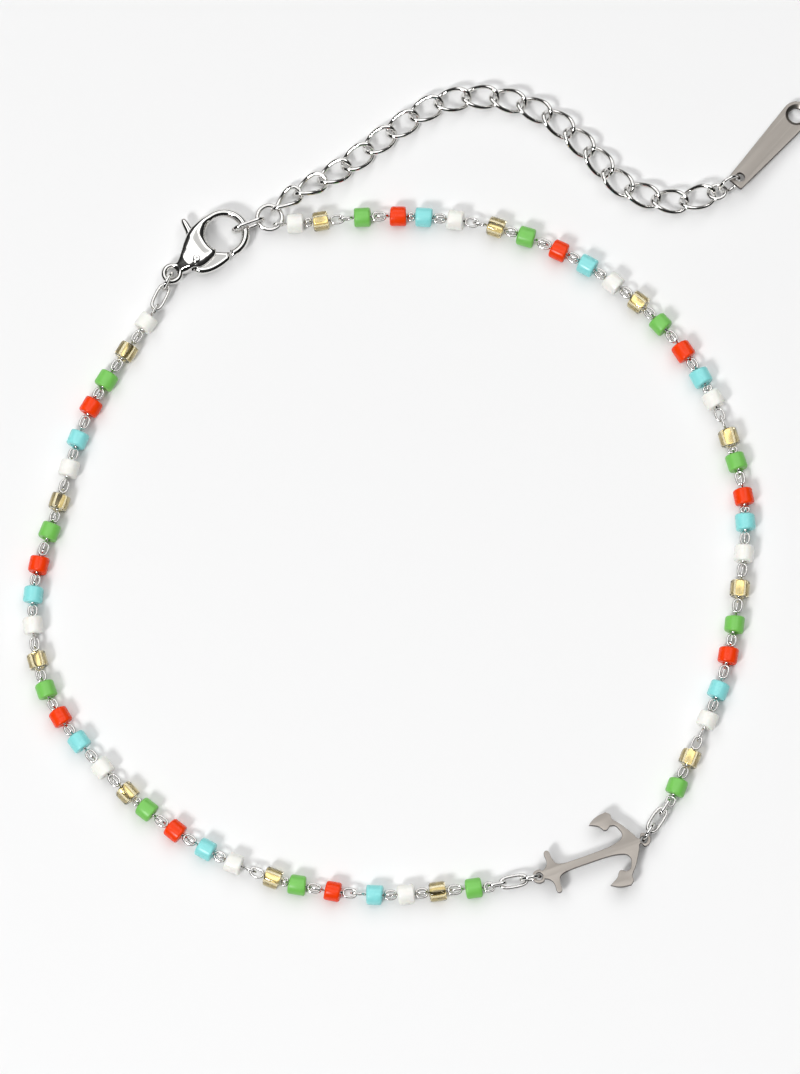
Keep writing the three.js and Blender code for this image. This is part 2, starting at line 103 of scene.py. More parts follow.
# Waves round a bead, how deep they are as a share of its radius, and how far they wind.
BEAD_DENTS = [(2, 0.018), (3, 0.014), (5, 0.006), (11, 0.003)]
DENT_WINDING = 0.8
LINING_WALL = 0.04
LINING_PLAY = 0.02
LINING_INSET = 0.05
PIN_WIRE = 0.27
EYE_WIDTH = 1.15
EYE_MOST_WIDTH = 1.2  # share of the eye's length
EYE_SQUARENESS = 0.8
EYE_NECK = 0.1
EYE_CLEAR = 0.06
PIN_EYE = 1.7
FLAT_ROLL = 10
UPRIGHT_ROLL = 6
FLAT_FIRST = 0.6  # share of the gaps whose first eye lies flat
TAG_LINK_SHOWN = 2.75  # round wire reaches lower than a faceted one
TAG_BEVEL = 0.05
TAG_CORNER = 0.12
FUNNEL_DEPTH = 0.22
FUNNEL_FLARE = 0.32
FUNNEL_CUT_FLARE = 0.45
ANCHOR_BEVEL = 0.04
BORE_PLAY = 0.05
RIVET_FACE = 0.3
RIVET_EDGE = 0.08
CUT_PAST = 0.1  # how far a cutter reaches past the face it cuts
NEAR_AXIS = 0.001  # radius where a turned piece closes
WELD = 1e-4
FLAT = 0.9999  # least upright share of a flat face's normal
CELL = 0.055  # of the mesh that the clasp's pieces are rounded in
BLANK = 2  # height of these pieces before they are rounded

# Clasp, its outlines in hundredths of its length from the middle of its eye.
CLASP_LENGTH = 10.8
CLASP_THICKNESS = 2.5
CLASP_TURN = 39
CLASP_EYE_RADIUS = 1.15
CLASP_EYE_HOLE = 0.55
CLASP_EYE_THICKNESS = 1
RIM_THICKNESS = 1.2
SLOT_THICKNESS = 1.15
SLOT_START = 17.4
SLOT_END = 48
SLOT_SIDE = 6  # millimetres, past both sides of the clasp
LEVER_THICKNESS = 0.95
LEVER_PLAY = 0.7
RIVET_RADIUS = 0.4
PIVOT = (26.9, -5.6)
PIVOT_ROUND = (*PIVOT, 7.9, 200, 120)
HOOK_INSIDE = (63.4, -0.9, 17.6, 208, -108)
LEVER_INSIDE = (172, 212)
HOOK_OUTSIDE = (64.4, -0.9, 25.2, -110, 85)
HOOK_TIP = (55.4, -25.2)
BODY_LOWER = [
    (6.5, -5.6), (12, -7.9), (20, -9.7), (23, -12.5), (28, -14.6), (35, -14.8), (42, -13.9),
    (46, -12),
]
BODY_UPPER = [
    (57.4, 25.7), (48, 24), (36.6, 20.6), (27.8, 15.7), (16.7, 8.1), (12, 6.7), (6.5, 5.6),
]
GATE = [
    (56.5, -18.5), (52.8, -24.8), (48, -25.5), (40.7, -25.2), (32.4, -23.7), (25.9, -21.1),
    (20.8, -17.1), (18.3, -12.5),
]
THUMB_TAB = [(26.9, 11.1), (34.7, 22.2), (39.8, 36.4), (44.4, 35.2), (44, 24), (42.1, 11.1)]
# Along the clasp: its thickness, how far in from its edge it is round, and the least share of
# its thickness, which it has at its edge.
CLASP_FORM = [
    (-2, CLASP_EYE_THICKNESS, 0.3, 0.15),
    (9, 1.2 * CLASP_EYE_THICKNESS, 0.4, 0.25),
    (17.4, 0.72 * CLASP_THICKNESS, 0.8, 0.78),
    (26, 0.88 * CLASP_THICKNESS, 1.2, 0.68),
    (36, CLASP_THICKNESS, 1.2, 0.64),
    (43.5, CLASP_THICKNESS, 1.2, 0.62),
    (52.8, 0.82 * CLASP_THICKNESS, 0.9, 0.45),
    (63, RIM_THICKNESS, 0.43, 0.1),
    (100, RIM_THICKNESS, 0.43, 0.1),
]
LEVER_FORM = (LEVER_THICKNESS, 0.55, 0.2)

# Anchor, its outline in hundredths of the length between its eyes from the middle of its stock.
# The third number marks a corner.
ANCHOR_LENGTH = 11.4
ANCHOR_TURN = 19.3
ANCHOR_THICKNESS = 0.8
ANCHOR_HEIGHT = 1.2
ANCHOR_EYE_RADIUS = 0.7
ANCHOR_EYE_HOLE = 0.4
STOCK_EYE = -13.2
CROWN_EYE = STOCK_EYE + 100
ANCHOR_SIDE = [
    (-9.2, 3.7, 0), (-4, 7, 0), (-2.5, 11.5, 0), (-2.6, 18, 0), (-0.4, 20, 0), (2.2, 18.4, 0),
    (2.8, 12.3, 0), (4.4, 7, 0), (7.5, 4.8, 0), (14, 3.7, 0), (35, 3.5, 0), (53.5, 4, 0),
    (63, 5.7, 0), (68, 7.9, 0), (70, 11.8, 0), (69, 16.2, 0), (66.7, 20.6, 0), (62.3, 22, 1),
    (57, 19.3, 0), (52.6, 24.6, 0), (44.7, 29, 1), (49, 32, 0), (54.4, 34, 0), (62.3, 35, 1),
    (65.8, 31.6, 0), (66, 27.2, 0), (72.4, 19.3, 0), (79.8, 7, 0), (82.8, 2.2, 0),
]

TAG_TURN = 49
TAG_TILT = 4.5
TAG_LENGTH = 11.65
TAG_NARROW = 1.85
TAG_WIDE = 3
TAG_THICKNESS = 0.6
TAG_ROUND = 87
TAG_SMALL_HOLE_AT = 0.92
TAG_SMALL_HOLE = 0.5
TAG_LARGE_HOLE = 0.85

CLASP_AT = (-315, 265)
ANCHOR_AT = (169, -463)
END_RING_FROM_HOOK = (5.17, 20.5)
RIGHT_START = (2.77, -12.5)
RIGHT_END = (6.47, 58.3)
LEFT_START = (5.9, -117)
LEFT_END = (6.83, 189.5)
RIGHT_STRAND = [
    (-26, 335), (101, 320), (215, 273), (309, 200), (374, 109), (413, -14), (407, -124),
    (379, -245),
]
LEFT_STRAND = [
    (-418, 100), (-457, -17), (-488, -128), (-470, -243), (-399, -335), (-305, -412),
    (-185, -468), (-57, -489),
]
EXTENSION = [
    (-168, 356, 1.44), (-95, 397, 1), (-34, 440, 1), (28, 476, 1), (97, 483, 1), (165, 461, 1),
    (218, 418, 1), (266, 371, 1), (330, 351, 1.06), (384, 362, 1.38),
]

# Distances from bead to bead in turn, as shares of their mean.
GAPS = {"s": 0.77, "m": 0.95, "w": 1.08, "l": 1.25}
RIGHT_GAPS = "slwsmlmwmmmmwmslswsmwwmwmlm"
LEFT_GAPS = "wwmwmwmwmmwmmmwwswwmlswlmmw"
BEAD_ORDER = ["white", "gold", "green", "red", "turquoise"]

CLASP_UNIT = CLASP_LENGTH / 100
ANCHOR_UNIT = ANCHOR_LENGTH / 100


# Materials.

def shader(name, **sockets):
    """A material with one principled shader, its constant values set on the shader's sockets."""
    material = bpy.data.materials.new(name)
    material.use_nodes = True
    node = material.node_tree.nodes["Principled BSDF"]
    for socket, value in sockets.items():
        node.inputs[socket.replace("_", " ")].default_value = value
    return material, material.node_tree, node


def speckle(tree, scale, low, high, detail=3):
    """Fine noise in object space, spread between two values."""
    place = tree.nodes.new("ShaderNodeTexCoord")
    noise = tree.nodes.new("ShaderNodeTexNoise")
    noise.inputs["Scale"].default_value = scale
    noise.inputs["Detail"].default_value = detail
    spread = tree.nodes.new("ShaderNodeMapRange")
    spread.inputs["To Min"].default_value = low
    spread.inputs["To Max"].default_value = high
    tree.links.new(place.outputs["Object"], noise.inputs["Vector"])
    tree.links.new(noise.outputs["Fac"], spread.inputs["Value"])
    return spread.outputs["Result"]


def roughen(tree, node, scale, low, high):
    tree.links.new(speckle(tree, scale, low, high), node.inputs["Roughness"])


def dimple(tree, node, scale, distance, strength=1.0):
    bump = tree.nodes.new("ShaderNodeBump")
    bump.inputs["Strength"].default_value = strength
    bump.inputs["Distance"].default_value = distance
    tree.links.new(speckle(tree, scale, 0, 1), bump.inputs["Height"])
    tree.links.new(bump.outputs["Normal"], node.inputs["Normal"])


def steel_material(name, colour, low, high, scale, bump):
    material, tree, node = shader(name, Base_Color=(*colour, 1), Metallic=1.0)
    roughen(tree, node, scale, low, high)
    dimple(tree, node, scale * 0.7, bump)
    return material


def glass_material(name, colour, low, high, depth=0.0, shine=0.5):
    material, tree, node = shader(
        name,
        Base_Color=(*colour, 1),
        IOR=1.52,
        Specular_IOR_Level=shine,
        Subsurface_Weight=depth,
        Subsurface_Scale=0.0006,
    )
    roughen(tree, node, 900, low, high)
    dimple(tree, node, 500, 0.00003)
    return material


def clear_material(name, colour):
    material, tree, node = shader(
        name, Base_Color=(*colour, 1), IOR=1.5, Transmission_Weight=1.0
    )
    roughen(tree, node, 900, 0.02, 0.08)
    return material


SHADED_SIDE_TO_FACE = (0.4, 0.75)  # upright share of the normal where a plate's side, in painted shade, ends and its face starts


def side_shaded_plate_material(name, face, side):
    """Ground steel with painted shade on its sides: by how upright the normal is, the sides take a
    dark colour and the faces the steel's own.
    """
    material, tree, node = shader(name, Metallic=1.0)
    roughen(tree, node, 2500, 0.3, 0.42)
    place = tree.nodes.new("ShaderNodeTexCoord")
    split = tree.nodes.new("ShaderNodeSeparateXYZ")
    ramp = tree.nodes.new("ShaderNodeValToRGB")
    level = tree.nodes.new("ShaderNodeMath")
    level.operation = "ABSOLUTE"
    tree.links.new(place.outputs["Normal"], split.inputs["Vector"])
    tree.links.new(split.outputs["Z"], level.inputs[0])
    tree.links.new(level.outputs["Value"], ramp.inputs["Fac"])
    tree.links.new(ramp.outputs["Color"], node.inputs["Base Color"])
    # The side colour is painted shade; the face colour is the steel's own.
    for stop, upright, colour in zip(ramp.color_ramp.elements, SHADED_SIDE_TO_FACE, (side, face)):
        stop.position = upright
        stop.color = (*colour, 1)
    return material


polished = steel_material("polished_steel", (0.78, 0.77, 0.75), 0.05, 0.1, 700, 0.00001)
wire = steel_material("drawn_wire", (0.76, 0.75, 0.73), 0.08, 0.15, 1500, 0.00001)
# The second colour is painted shade on the anchor's and tag's sides.
satin = side_shaded_plate_material("satin_steel_shaded_sides", (0.36, 0.33, 0.3), (0.05, 0.038, 0.032))
lining = steel_material("silver_lining", (0.93, 0.9, 0.82), 0.15, 0.3, 900, 0.00002)
bead_looks = {
    "white": glass_material("white_glass", (0.93, 0.925, 0.87), 0.2, 0.35, 0.1),
    "gold": clear_material("gold_glass", (0.97, 0.87, 0.58)),
    "green": glass_material("green_glass", (0.19, 0.58, 0.1), 0.3, 0.45),
    "red": glass_material("red_glass", (0.93, 0.052, 0.003), 0.2, 0.32, shine=0.25),
    "turquoise": glass_material("turquoise_glass", (0.27, 0.77, 0.77), 0.2, 0.35),
}


# Shapes. All are made in millimetres in page place, then moved with the solids into the frame.

def laid(x, y, z):
    """A place on the floor, given in thousandths of the laid width and depth."""
    return Vector((x * LAID_WIDTH / 1000, y * LAID_DEPTH / 1000, z))


def away(start, reach, turn, z):
    a = math.radians(turn)
    return Vector((start.x + reach * math.cos(a), start.y + reach * math.sin(a), z))


def scaled(points, unit):
    return [(x * unit, y * unit) for x, y in points]


def turned(at, turn, tilt=0.0):
    rotate = Matrix.Rotation(math.radians(turn), 4, "Z")
    return Matrix.Translation(at) @ rotate @ Matrix.Rotation(math.radians(tilt), 4, "Y")


clasp_place = turned(laid(*CLASP_AT, CLASP_THICKNESS / 2), CLASP_TURN)
pivot = Vector((*PIVOT, 0)) * CLASP_UNIT
rivet_low, rivet_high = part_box("clasp_rivet")
SHIFT = (rivet_low + rivet_high) / 2 / MM - clasp_place @ pivot


def pose(at, direction, roll=0.0):
    """Lays local X along a direction and rolls local Z round it."""
    x = direction.normalized()
    y = UP.cross(x).normalized()
    z = x.cross(y)
    basis = Matrix((x, y, z)).transposed().to_4x4()
    return Matrix.Translation(at) @ basis @ Matrix.Rotation(math.radians(roll), 4, "X")


def moved(part, matrix):
    points, faces = part
    m = np.array(matrix)
    return points @ m[:3, :3].T + m[:3, 3], faces


def joined(parts):
    points, faces, start = [], [], 0
    for some, f in parts:
        points.append(some)
        faces += [tuple(i + start for i in face) for face in f]
        start += len(some)
    return np.concatenate(points), faces


def grid_faces(rows, columns, close_rows):
    faces = []
    for i in range(rows if close_rows else rows - 1):
        a, b = i * columns, (i + 1) % rows * columns
        for j in range(columns):
            k = (j + 1) % columns
            faces.append((a + j, a + k, b + k, b + j))
    return faces


def tube(path, radius, sides=10, closed=False):
    """Round wire along a path of points. An open one is closed with flat ends."""
    path = [Vector(p) for p in path]
    n = len(path)
    rings, last = [], None
    for i, p in enumerate(path):
        ahead = path[(i + 1) % n] if closed else path[min(i + 1, n - 1)]
        behind = path[i - 1] if closed else path[max(i - 1, 0)]
        along = (ahead - behind).normalized()
        if last is None:
            last = UP if abs(along.z) < 0.9 else Vector((1, 0, 0))
        side = (last - along * last.dot(along)).normalized()
        last = side
        other = along.cross(side)
        for j in range(sides):
            u = 2 * math.pi * j / sides
            rings.append(p + radius * (math.cos(u) * side + math.sin(u) * other))
    faces = grid_faces(n, sides, closed)
    if not closed:
        faces.append(tuple(reversed(range(sides))))
        faces.append(tuple(range((n - 1) * sides, n * sides)))
    return np.array([list(p) for p in rings]), faces


def wire_loop(length, width, thick, squareness=1.0, twist=0.0, steps=40, sides=10):
    """A closed loop of round wire, its outer length along X, twisted about X."""
    a, b = (length - thick) / 2, (width - thick) / 2
    path = []
    for i in range(steps):
        t = 2 * math.pi * i / steps
        c, s = math.cos(t), math.sin(t)
        x = a * math.copysign(abs(c) ** squareness, c)
        y = b * math.copysign(abs(s) ** squareness, s)
        turn = math.radians(twist / 2) * x / a
        path.append((x, y * math.cos(turn), y * math.sin(turn)))
    return tube(path, thick / 2, sides, closed=True)


def turned_part(profile, sides, closed=True):
    """Turns a profile of (x, radius) pairs about X."""
    points = []
    for x, r in profile:
        for j in range(sides):
            u = 2 * math.pi * j / sides
            points.append((x, r * math.cos(u), r * math.sin(u)))
    return np.array(points), grid_faces(len(profile), sides, closed)


def make(name, part, material, replaced=(), body=BODY, sharp=None):
    """A shown piece from points in page millimetres."""
    points, faces = part
    mesh = bpy.data.meshes.new(name)
    mesh.from_pydata((points + np.array(SHIFT)) * MM, [], faces)
    mesh.update()
    b = bmesh.new()
    b.from_mesh(mesh)
    bmesh.ops.recalc_face_normals(b, faces=b.faces)
    b.to_mesh(mesh)
    b.free()
    return show(name, mesh, material, replaced, body, sharp)


def show(name, mesh, material, replaced=(), body=BODY, sharp=None, shaded=False):
    """Shows a mesh. One that is shaded already keeps its flat faces."""
    if not shaded:
        mesh.shade_smooth()
    if sharp:
        mesh.set_sharp_from_angle(angle=math.radians(sharp))
    mesh.materials.clear()
    mesh.materials.append(material)
    piece = bpy.data.objects.new(name, mesh)
    bpy.context.scene.collection.objects.link(piece)
    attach(piece, body)
    if replaced:
        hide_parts(*replaced)
    return piece


class Route:
    """A centripetal spline through points, walked by its parameter or by its length."""

    DIVISIONS = 200

    def __init__(self, points):
        self.points = [Vector(p) for p in points]
        steps = [self.point(i / self.DIVISIONS) for i in range(self.DIVISIONS + 1)]
        walked = [0.0]
        for a, b in zip(steps, steps[1:]):
            walked.append(walked[-1] + (b - a).length)
        self.walked = walked
        self.length = walked[-1]

    def point(self, t):
        p = self.points
        at = t * (len(p) - 1)
        i = min(int(at), len(p) - 2)
        w = at - i
        before = p[i - 1] if i else 2 * p[0] - p[1]
        after = p[i + 2] if i + 2 < len(p) else 2 * p[-1] - p[-2]
        a, b = p[i], p[i + 1]
        d0, d1, d2 = (q.length ** 0.5 for q in (a - before, b - a, after - b))
        t1 = ((a - before) / d0 - (b - before) / (d0 + d1) + (b - a) / d1) * d1
        t2 = ((b - a) / d1 - (after - a) / (d1 + d2) + (after - b) / d2) * d1
        return a + t1 * w + (3 * (b - a) - 2 * t1 - t2) * w**2 + (2 * (a - b) + t1 + t2) * w**3

    def tangent(self, t):
        step = 1e-4
        ends = self.point(max(0, t - step)), self.point(min(1, t + step))
        return (ends[1] - ends[0]).normalized()

    def at_length(self, share):
        marks = np.linspace(0, 1, len(self.walked))
        return float(np.interp(share * self.length, self.walked, marks))


# Beads and their wire pins.

def bead_places(start, route, end, gaps):
    """Where each bead sits and which way it points. The gaps repeat about the middle."""
    height = BEAD_DIAMETER / 2
    curve = Route([start, *(laid(x, y, height) for x, y in route), end])
    half = round((curve.length / BEAD_PITCH + 1) / 2)
    first = (len(gaps) + 1) // 2 - half
    walked = [0]
    for i in range(2 * half - 1):
        walked.append(walked[-1] + GAPS[gaps[(first + i) % len(gaps)]])
    marks = [curve.at_length(distance / walked[-1]) for distance in walked]
    return [(curve.point(t), curve.tangent(t)) for t in marks]


def spread(most):
    """A seeded number between the two signs of the most."""
    return rng.uniform(-most, most)


def bead(length, diameter):
    """A short drilled cylinder of glass with rounded edges, neither quite round nor square."""
    half, r, hole = length / 2, diameter / 2, BEAD_HOLE
    edge, lip = BEAD_EDGE, BEAD_LIP
    inward, outward = BEAD_LIP_MIDDLE
    profile = [(-half + lip, hole), (-half + inward, hole + outward), (-half, hole + lip)]
    for sign in (-1, 1):
        corner = []
        for k in range(5):
            u = math.pi / 2 * k / 4
            corner.append((sign * (half - edge + edge * math.cos(u)), r - edge + edge * math.sin(u)))
        profile += corner if sign < 0 else corner[::-1]
    profile += [(half, hole + lip), (half - inward, hole + outward), (half - lip, hole)]
    points, faces = turned_part(profile, BEAD_SIDES)
    slant_y, slant_z = spread(BEAD_SLANT), spread(BEAD_SLANT)
    points[:, 0] += np.sign(points[:, 0]) * (slant_y * points[:, 1] + slant_z * points[:, 2])
    turn = np.arctan2(points[:, 2], points[:, 1])
    outside = np.hypot(points[:, 1], points[:, 2]) > hole + lip
    dent = np.zeros(len(points))
    for waves, depth in BEAD_DENTS:
        start, winding = rng.uniform(0, 2 * math.pi), spread(DENT_WINDING)
        dent += depth * (1 + np.cos(waves * turn + winding * points[:, 0] + start)) / 2
    points[:, 1:] *= 1 - (dent * outside)[:, None]
    return points, faces


def lining_of(length):
    """The bright square tube that shows through a clear bead."""
    half, out = length / 2 - LINING_INSET, BEAD_HOLE - LINING_PLAY
    inner = out - LINING_WALL
    return turned_part([(-half, out), (-half, inner), (half, inner), (half, out)], 4)


def eye(face, out, length, roll):
    """A wire eye: a neck out of the bead's hole, and a long loop."""
    width = min(EYE_WIDTH, EYE_MOST_WIDTH * length)
    loop = wire_loop(length - EYE_NECK, width, PIN_WIRE, EYE_SQUARENESS, steps=28, sides=8)
    middle = (length + EYE_NECK) / 2
    stem = tube([(-BEAD_LENGTH / 2, 0, 0), (EYE_NECK + PIN_WIRE / 2, 0, 0)], PIN_WIRE / 2, 8)
    place = pose(face, out, roll)
    return [moved(moved(loop, Matrix.Translation((middle, 0, 0))), place), moved(stem, place)]


def strand(places):
    beads = {colour: [] for colour in [*BEAD_ORDER, "lining"]}
    for i, (at, along) in enumerate(places):
        colour = BEAD_ORDER[i % len(BEAD_ORDER)]
        lean = Matrix.Rotation(math.radians(spread(BEAD_LEAN)), 4, "Z")
        size = spread(1)
        length = BEAD_LENGTH * (1 + BEAD_LENGTH_SPREAD * size)
        one = bead(length, BEAD_DIAMETER * (1 - BEAD_DIAMETER_SPREAD * abs(size)))
        place = pose(at, along) @ lean @ Matrix.Rotation(rng.uniform(0, 2 * math.pi), 4, "X")
        beads[colour].append(moved(one, place))
        if colour == "gold":
            beads["lining"].append(moved(lining_of(length), place))
    half = BEAD_LENGTH / 2
    eyes = eye(places[0][0] - half * places[0][1], -places[0][1], LONG_EYE, 90)
    eyes += eye(places[-1][0] + half * places[-1][1], places[-1][1], PLAIN_EYE, 0)
    for (at, along), (next_at, next_along) in zip(places, places[1:]):
        start = at + half * along
        end = next_at - half * next_along
        across = end - start
        length = min(PIN_EYE, across.length - EYE_CLEAR)
        flat, upright = spread(FLAT_ROLL), 90 + spread(UPRIGHT_ROLL)
        rolls = (flat, upright) if rng.random() < FLAT_FIRST else (upright, flat)
        eyes += eye(start, across, length, rolls[0])
        eyes += eye(end, -across, length, rolls[1])
    return beads, eyes


anchor_place = turned(laid(*ANCHOR_AT, ANCHOR_HEIGHT), ANCHOR_TURN)
stock_eye = anchor_place @ Vector((STOCK_EYE * ANCHOR_UNIT, 0, 0))
crown_eye = anchor_place @ Vector((CROWN_EYE * ANCHOR_UNIT, 0, 0))
clasp_eye = clasp_place @ Vector((0, 0, 0))
clasp_hole = clasp_place @ (Vector((*HOOK_INSIDE[:2], 0)) * CLASP_UNIT)
end_ring_at = away(clasp_hole, *END_RING_FROM_HOOK, END_RING_HEIGHT)
bead_height = BEAD_DIAMETER / 2
right = bead_places(
    away(end_ring_at, *RIGHT_START, bead_height),
    RIGHT_STRAND,
    away(crown_eye, *RIGHT_END, bead_height),
    RIGHT_GAPS,
)
left = bead_places(
    away(clasp_eye, *LEFT_START, bead_height),
    LEFT_STRAND,
    away(stock_eye, *LEFT_END, bead_height),
    LEFT_GAPS,
)
right_beads, right_eyes = strand(right)
left_beads, left_eyes = strand(left)
strand_nodes = [f"{side}_strand_{end}" for side in ("right", "left") for end in ("upper", "lower")]
for colour in BEAD_ORDER:
    part = joined(right_beads[colour] + left_beads[colour])
    make(f"beads_{colour}", part, bead_looks[colour], strand_nodes, sharp=50)
linings = joined(right_beads["lining"] + left_beads["lining"])
make("gold_bead_linings", linings, lining, strand_nodes, sharp=30)
make("eye_pins", joined(right_eyes + left_eyes), wire, strand_nodes)


# Flat pieces: outlines that run smoothly between their corners.

def smoothed(points, corners, steps=6):
    """Closed outline through points, round except at the corners, which are given by number."""
    n, out = len(points), []
    for i in range(n):
        p0, p1, p2, p3 = (Vector(points[(i + k) % n]) for k in (-1, 0, 1, 2))
        t1 = Vector((0, 0)) if i in corners else (p2 - p0) / 2
        t2 = Vector((0, 0)) if (i + 1) % n in corners else (p3 - p1) / 2
        span = (p2 - p1).length
        t1 = t1.normalized() * span if t1.length else p2 - p1
        t2 = t2.normalized() * span if t2.length else p2 - p1
        for k in range(steps):
            w = k / steps
            q = p1 + t1 * w + (3 * (p2 - p1) - 2 * t1 - t2) * w**2
            out.append(q + (2 * (p1 - p2) + t1 + t2) * w**3)
    return [(p.x, p.y) for p in out]


def circle(x, y, radius, start=0.0, end=360.0, steps=48, closed=True):
    count = steps if closed else steps + 1
    angles = [math.radians(start + (end - start) * i / steps) for i in range(count)]
    return [(x + radius * math.cos(u), y + radius * math.sin(u)) for u in angles]


def eased(points, steps=6):
    """A smooth line through points that stay open at both ends."""
    last = len(points) - 1
    return smoothed(points, {0, last}, steps)[: steps * last + 1]


def plate(outlines, thickness, bevel):
    """A flat plate with rounded edges, cut by every outline after the first."""
    curve = bpy.data.curves.new("plate", "CURVE")
    curve.dimensions = "2D"
    curve.fill_mode = "BOTH"
    curve.extrude = thickness / 2 - bevel
    curve.bevel_depth = bevel
    curve.bevel_resolution = 3
    curve.offset = -bevel
    for outline in outlines:
        spline = curve.splines.new("POLY")
        spline.points.add(len(outline) - 1)
        spline.points.foreach_set("co", [v for x, y in outline for v in (x, y, 0, 1)])
        spline.use_cyclic_u = True
    mesh = modified(curve)
    b = bmesh.new()
    b.from_mesh(mesh)
    bmesh.ops.remove_doubles(b, verts=b.verts, dist=WELD)
    bmesh.ops.recalc_face_normals(b, faces=b.faces)
    for face in b.faces:
        face.smooth = abs(face.normal.z) < FLAT
    b.to_mesh(mesh)
    b.free()
    return mesh


def modified(data, *modifiers):
    """A mesh or curve as its modifiers leave it."""
    holder = bpy.data.objects.new("holder", data)
    bpy.context.scene.collection.objects.link(holder)
    for kind, settings in modifiers:
        modifier = holder.modifiers.new(kind, kind)
        for key, value in settings.items():
            setattr(modifier, key, value)
    graph = bpy.context.evaluated_depsgraph_get()
    made = bpy.data.meshes.new_from_object(holder.evaluated_get(graph))
    bpy.data.objects.remove(holder)
    return made


def solid(part):
    """A mesh in plain millimetres, its faces all turned outwards."""
    points, faces = part
    mesh = bpy.data.meshes.new("solid")
    mesh.from_pydata(points, [], faces)
    b = bmesh.new()
    b.from_mesh(mesh)
    bmesh.ops.recalc_face_normals(b, faces=b.faces)
    b.to_mesh(mesh)
    b.free()
    return mesh


def combined(base, operation, *others):
    """A mesh with others cut out of it or joined to it."""
    helpers = []
    for mesh in others:
        helper = bpy.data.objects.new("helper", mesh)
        bpy.context.scene.collection.objects.link(helper)
        helpers.append(helper)
    steps = [("BOOLEAN", {"operation": operation, "solver": "EXACT", "object": h}) for h in helpers]
    made = modified(base, *steps)
    for helper in helpers:
        bpy.data.objects.remove(helper)
    return made


def into_frame(matrix):
    return Matrix.Scale(MM, 4) @ Matrix.Translation(SHIFT) @ matrix


def anchor_outline():
    """The stock's eye, one side of the anchor, the crown's eye and the mirrored side."""
    stock = circle(STOCK_EYE * ANCHOR_UNIT, 0, ANCHOR_EYE_RADIUS, 300, 60, 8, closed=False)
    crown = circle(CROWN_EYE * ANCHOR_UNIT, 0, ANCHOR_EYE_RADIUS, 100, -100, 8, closed=False)
    top = scaled([(x, y) for x, y, _ in ANCHOR_SIDE], ANCHOR_UNIT)
    bottom = [(x, -y) for x, y in reversed(top)]
    flags = [corner for *_, corner in ANCHOR_SIDE]
    marks = [0] * len(stock) + flags + [0] * len(crown) + flags[::-1]
    corners = {i for i, corner in enumerate(marks) if corner}
    return smoothed(stock + top + crown + bottom, corners, 4)


anchor_holes = [
    circle(x * ANCHOR_UNIT, 0, ANCHOR_EYE_HOLE, steps=24) for x in (STOCK_EYE, CROWN_EYE)
]
anchor_mesh = plate([anchor_outline(), *anchor_holes], ANCHOR_THICKNESS, ANCHOR_BEVEL)
anchor_mesh.transform(into_frame(anchor_place))
show("anchor_charm", anchor_mesh, satin, ["anchor"], sharp=40, shaded=True)


# Wire loops.

def towards(a, b):
    return (b - a).normalized()


def oval(length):
    return wire_loop(length, OVAL_WIDTH, SMALL_WIRE, OVAL_SQUARENESS)


jump_ring = wire_loop(RING_DIAMETER, RING_DIAMETER, SMALL_WIRE)


def lead_in(face, hole):
    """Upright small link, flat oval link and upright jump ring from a bead's face to a hole."""
    along = towards(face, hole)
    small = face + along * SMALL_REACH
    ring = hole - along * RING_REACH
    return [
        moved(oval(SMALL_LENGTH), pose(small, along, 90)),
        moved(oval(OVAL_LENGTH), pose((small + ring) / 2, along)),
        moved(jump_ring, pose(ring, along, 90)),
    ]


half_bead = BEAD_LENGTH / 2
left_end = left[-1][0] + half_bead * left[-1][1]
right_end = right[-1][0] + half_bead * right[-1][1]
left_start = left[0][0] - half_bead * left[0][1]
for prefix, face, hole in (("stock", left_end, stock_eye), ("crown", right_end, crown_eye)):
    nodes = [f"{prefix}_{kind}" for kind in ("small_link", "oval_link", "jump_ring")]
    make(f"{prefix}_links", joined(lead_in(face, hole)), polished, nodes)

clasp_line = towards(left_start, clasp_eye)
ring_at = (clasp_eye - left_start).length - RING_REACH
oval_at = ring_at - RING_DIAMETER / 2 + 2 * SMALL_WIRE + RING_PLAY - OVAL_LENGTH / 2
clasp_links = [
    moved(oval(OVAL_LENGTH), pose(left_start + oval_at * clasp_line, clasp_line)),
    moved(jump_ring, pose(left_start + ring_at * clasp_line, clasp_line, 90)),
]
make("clasp_links", joined(clasp_links), polished, ["clasp_oval_link", "clasp_jump_ring"])

chain = Route([end_ring_at, *(laid(x, y, height * CHAIN_HEIGHT) for x, y, height in EXTENSION)])
end_reach = (END_RING_DIAMETER - LINK_WIRE) / 2 - LINK_WIRE - RING_PLAY
tag_reach = (TAG_RING_DIAMETER - TAG_RING_WIRE) / 2 - LINK_WIRE - RING_PLAY
hung = chain.length - end_reach - tag_reach
pitch = (hung - LINK_WIRE - LINK_PLAY) / LINKS
link_reach = (pitch + LINK_WIRE + LINK_PLAY) / 2
link = wire_loop(
    2 * link_reach + LINK_WIRE, LINK_WIDTH, LINK_WIRE, LINK_SQUARENESS, LINK_TWIST, 56, 12
)
links = []
for i in range(LINKS):
    t = chain.at_length((end_reach + link_reach + i * pitch) / chain.length)
    roll = FIRST_LINK_ROLL * max(0, 1 - i / TURNED_LINKS)
    links.append(moved(link, pose(chain.point(t), chain.tangent(t), roll)))
link_nodes = [f"extension_link_{i:02}" for i in range(1, LINKS + 1)]
make("extension_chain", joined(links), polished, link_nodes)

